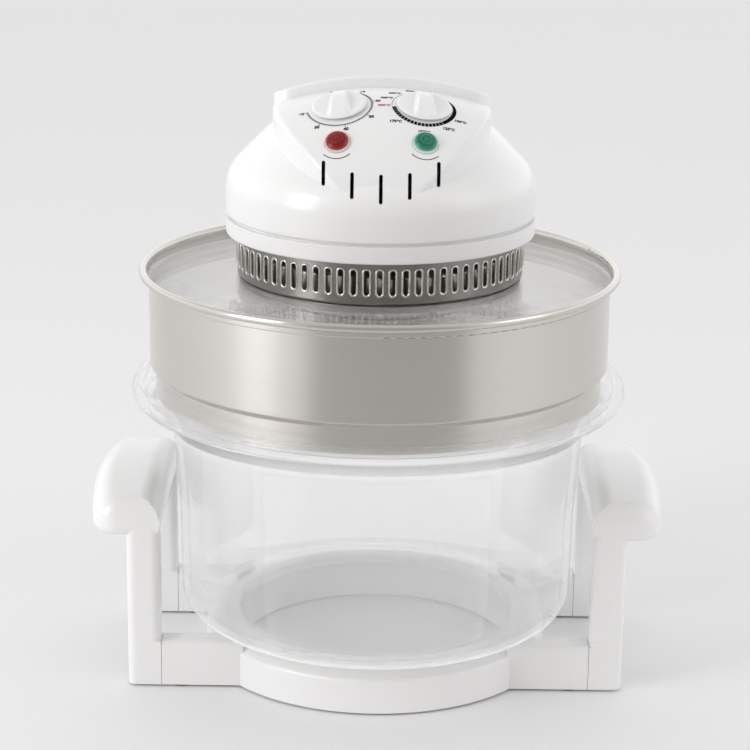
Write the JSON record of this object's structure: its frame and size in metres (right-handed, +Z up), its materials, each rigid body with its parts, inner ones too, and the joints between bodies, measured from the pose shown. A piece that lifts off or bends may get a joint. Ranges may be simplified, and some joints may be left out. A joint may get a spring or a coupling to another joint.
{
  "type": "halogen oven",
  "caption": "Tabletop halogen oven: glass bowl on a moulded stand, steel extension ring, and a lift-off head with lamp, fan, dials and a folding handle.",
  "frame": {"origin": "on the table, on the axis of the bowl", "axes": "+Z up, front with the dials towards -Y, +X to the right of someone facing the dials"},
  "size_m": [0.385, 0.3332, 0.4031],
  "materials": {
    "white_plastic": "gloss moulded",
    "rubber": "moulded",
    "clear_glass": "clear, polished",
    "stainless": "brushed round the axis",
    "chromed_wire": "bright",
    "zinc": "plated",
    "brass": "turned",
    "quartz": "clear tube",
    "ceramic": "unglazed ceramic",
    "laminations": "pressed sheets",
    "copper_winding": "taped winding",
    "aluminium": "stamped",
    "black_plastic": "moulded",
    "cream_plastic": "moulded",
    "red_lens": "translucent",
    "green_lens": "translucent"
  },
  "bodies": {
    "stand": {"base_frame": "white_plastic", "left_handle": "white_plastic", "right_handle": "white_plastic", "rubber_feet": "rubber", "stand_screws": "zinc"},
    "bowl": {"glass_bowl": "clear_glass"},
    "ring": {"extension_ring": "stainless"},
    "head": {"glass_lid": "clear_glass", "lid_gasket": "rubber", "vent_skirt": "stainless", "reflector_pan": "stainless", "pan_spacers": "zinc", "fan_guard": "chromed_wire", "guard_screws": "zinc", "halogen_tube": "quartz", "tube_sockets": "ceramic", "tube_clips": "stainless", "motor_bridge": "zinc", "lower_bearing": "brass", "motor_core": "laminations", "motor_coil": "copper_winding", "bearing_strap": "zinc", "motor_screws": "zinc", "lower_housing": "white_plastic", "housing_screws": "zinc", "top_housing": "white_plastic", "timer_unit": "zinc", "thermostat_unit": "ceramic", "lamp_bodies": "white_plastic", "red_lens": "red_lens", "green_lens": "green_lens", "micro_switch": "black_plastic", "terminal_block": "cream_plastic", "cord_gland": "white_plastic"},
    "rotor": {"rotor_shaft": "zinc", "rotor_core": "laminations", "hot_air_fan": "aluminium", "fan_nut": "zinc", "cooling_fan": "aluminium"},
    "handle": {"carry_handle": "white_plastic", "handle_pins": "zinc"},
    "plunger": {"safety_plunger": "white_plastic"},
    "timer": {"timer_knob": "white_plastic", "timer_spindle": "zinc"},
    "temperature": {"temperature_knob": "white_plastic", "temperature_spindle": "zinc"}
  },
  "joints": [
    {"name": "bowl_lift", "type": "slide", "parent": "stand", "child": "bowl", "axis": [0, 0, 1], "range_m": [0, 0.15]},
    {"name": "ring_lift", "type": "slide", "parent": "bowl", "child": "ring", "axis": [0, 0, 1], "range_m": [0, 0.1]},
    {"name": "head_lift", "type": "slide", "parent": "ring", "child": "head", "axis": [0, 0, 1], "range_m": [0, 0.12]},
    {"name": "handle_fold", "type": "hinge", "parent": "head", "child": "handle", "pos_m": [0, 0.04916, 0.37997], "axis": [-1, 0, 0], "range_deg": [0, 90]},
    {"name": "plunger_slide", "type": "slide", "parent": "head", "child": "plunger", "axis": [0, 0, 1], "range_m": [0, 0.003]},
    {"name": "timer_turn", "type": "hinge", "parent": "head", "child": "timer", "pos_m": [-0.027, -0.045, 0.38942], "axis": [-0.1208, -0.3298, 0.9363], "range_deg": [-300, 0]},
    {"name": "temperature_turn", "type": "hinge", "parent": "head", "child": "temperature", "pos_m": [0.027, -0.045, 0.38942], "axis": [0.1208, -0.3298, 0.9363], "range_deg": [-270, 0]},
    {"name": "fan_spin", "type": "hinge", "parent": "head", "child": "rotor", "pos_m": [0, 0, 0.2712], "axis": [0, 0, 1], "continuous": true}
  ],
  "couplings": [
    {"joint": "plunger_slide", "follows": "handle_fold", "m_per_rad": 0.001908}
  ]
}
